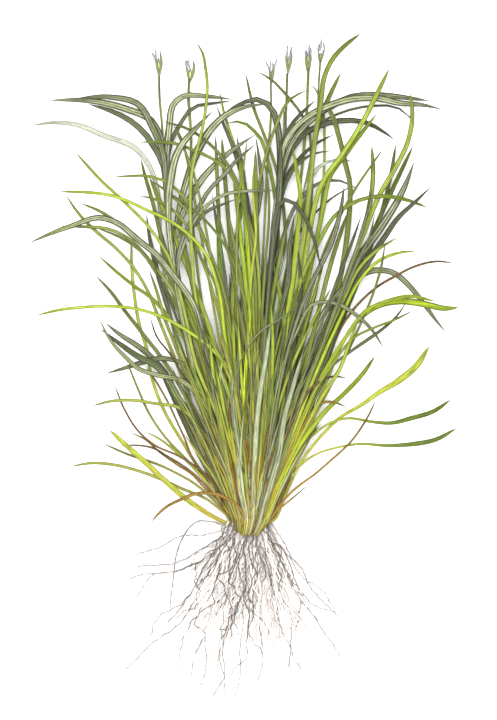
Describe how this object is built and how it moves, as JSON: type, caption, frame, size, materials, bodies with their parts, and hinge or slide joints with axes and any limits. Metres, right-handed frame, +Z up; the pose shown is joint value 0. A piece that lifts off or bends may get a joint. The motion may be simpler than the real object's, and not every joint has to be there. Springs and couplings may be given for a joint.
{
  "type": "japanese blyxa",
  "caption": "Grassy aquarium plant with a fan of narrow arching leaves, small stalked flowers and a beard of roots, lying flat.",
  "frame": {"origin": "on the surface that the plant lies on, under the crown", "axes": "+Y from the crown towards the leaf tips, +Z up from the surface, +X to the right seen from above"},
  "size_m": [0.1437, 0.2209, 0.0186],
  "materials": {
    "dark_leaf": "satin",
    "pale_leaf": "satin",
    "lime_leaf": "satin",
    "yellow_leaf": "satin",
    "brown_leaf": "matte",
    "inner_leaf": "matte",
    "flower_stalk": "satin",
    "flower": "matte",
    "root": "matte",
    "crown": "matte"
  },
  "bodies": {
    "root": {"crown": "crown", "inner_leaves_1": "inner_leaf", "inner_leaves_2": "inner_leaf", "inner_leaves_3": "inner_leaf", "inner_leaves_4": "inner_leaf", "inner_leaves_5": "inner_leaf", "inner_leaves_6": "inner_leaf", "inner_leaves_7": "inner_leaf", "inner_leaves_8": "inner_leaf", "fine_roots_1": "root", "fine_roots_2": "root", "fine_roots_3": "root", "fine_roots_4": "root", "strong_root_1": "root", "strong_root_2": "root", "flower_stalk_1": "flower_stalk", "flower_stalk_2": "flower_stalk", "flower_stalk_3": "flower_stalk", "flower_stalk_4": "flower_stalk", "flower_stalk_5": "flower_stalk", "flower_stalk_6": "flower_stalk", "flower_1": "flower", "flower_2": "flower", "flower_3": "flower", "flower_4": "flower", "flower_5": "flower", "flower_6": "flower", "dark_leaf_01": "dark_leaf", "dark_leaf_02": "dark_leaf", "dark_leaf_03": "dark_leaf", "dark_leaf_04": "dark_leaf", "dark_leaf_05": "dark_leaf", "dark_leaf_06": "dark_leaf", "dark_leaf_07": "dark_leaf", "dark_leaf_08": "dark_leaf", "dark_leaf_09": "dark_leaf", "dark_leaf_10": "dark_leaf", "dark_leaf_11": "dark_leaf", "dark_leaf_12": "dark_leaf", "dark_leaf_13": "dark_leaf", "pale_leaf_01": "pale_leaf", "green_leaf_01": "lime_leaf", "green_leaf_02": "lime_leaf", "green_leaf_03": "lime_leaf", "green_leaf_04": "lime_leaf", "green_leaf_05": "lime_leaf", "green_leaf_06": "lime_leaf", "green_leaf_07": "lime_leaf", "green_leaf_08": "lime_leaf", "green_leaf_09": "lime_leaf", "green_leaf_10": "lime_leaf", "green_leaf_11": "lime_leaf", "green_leaf_12": "lime_leaf", "green_leaf_13": "lime_leaf", "green_leaf_14": "lime_leaf", "yellow_leaf_01": "yellow_leaf", "yellow_leaf_02": "yellow_leaf", "brown_leaf_01": "brown_leaf", "brown_leaf_02": "brown_leaf", "brown_leaf_03": "brown_leaf"}
  },
  "joints": []
}
